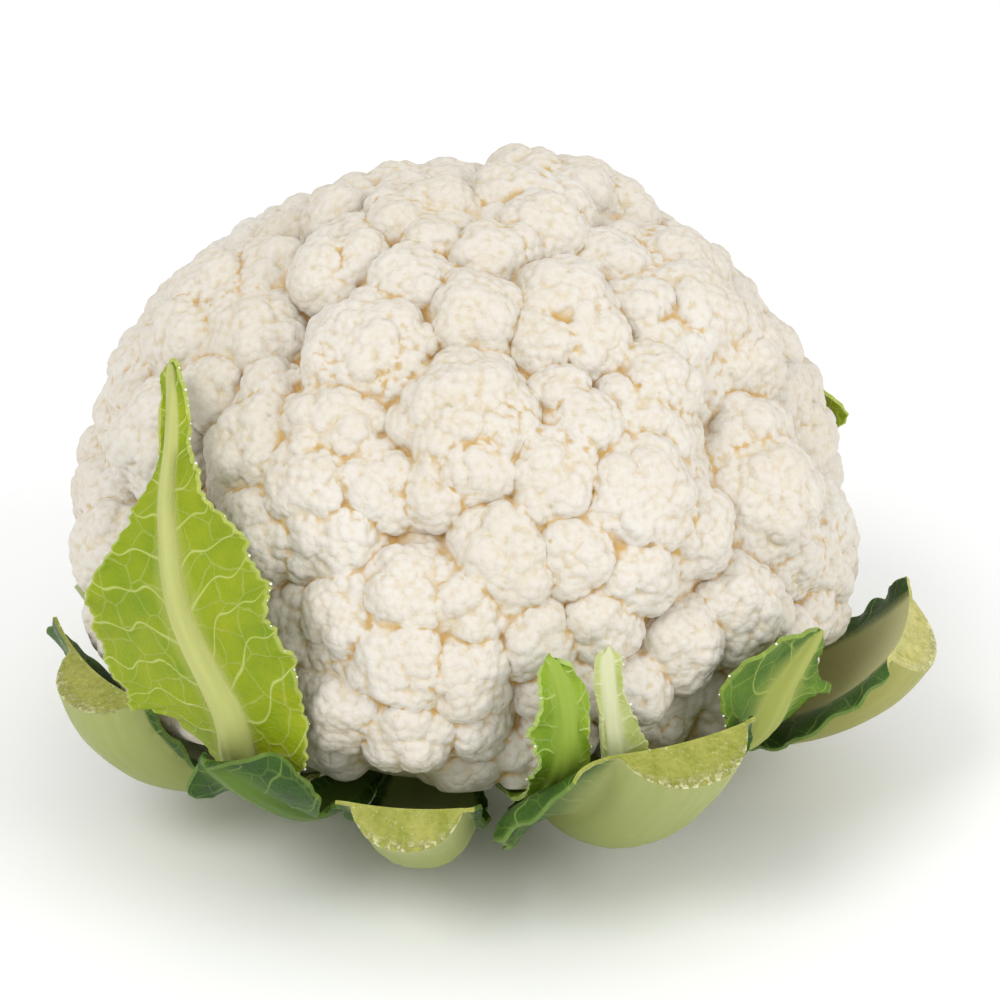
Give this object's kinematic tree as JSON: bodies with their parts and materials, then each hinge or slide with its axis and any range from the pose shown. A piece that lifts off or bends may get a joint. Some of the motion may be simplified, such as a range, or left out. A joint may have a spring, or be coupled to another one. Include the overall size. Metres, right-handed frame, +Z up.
{
  "type": "cauliflower",
  "caption": "Trimmed cauliflower: a white curd of close florets on its cut stem, with thick cut leaf bases and small inner leaves left round it.",
  "frame": {"origin": "middle of the stem's flat cut face", "axes": "+Z up out of the cut stem through the curd's crown; -Y is the front of the picture, with the tall inner leaf on its left; +X is the picture's right"},
  "size_m": [0.1969, 0.2138, 0.1394],
  "materials": {
    "curd": "matt, cream white",
    "stem": "waxy, pale green",
    "leaf_base": "waxy, green",
    "young_leaf": "soft sheen, yellow green"
  },
  "bodies": {
    "root": {"curd": "curd", "stem": "stem", "leaf_front": "leaf_base", "leaf_front_right": "leaf_base", "leaf_right": "leaf_base", "leaf_back_right": "leaf_base", "leaf_back": "leaf_base", "leaf_back_left": "leaf_base", "leaf_left": "leaf_base", "leaf_inner_left": "young_leaf", "leaf_inner_right": "young_leaf", "leaf_inner_small": "young_leaf", "leaf_tiny_centre": "young_leaf", "leaf_tiny_pale": "young_leaf", "leaf_low_left": "young_leaf"}
  },
  "joints": []
}
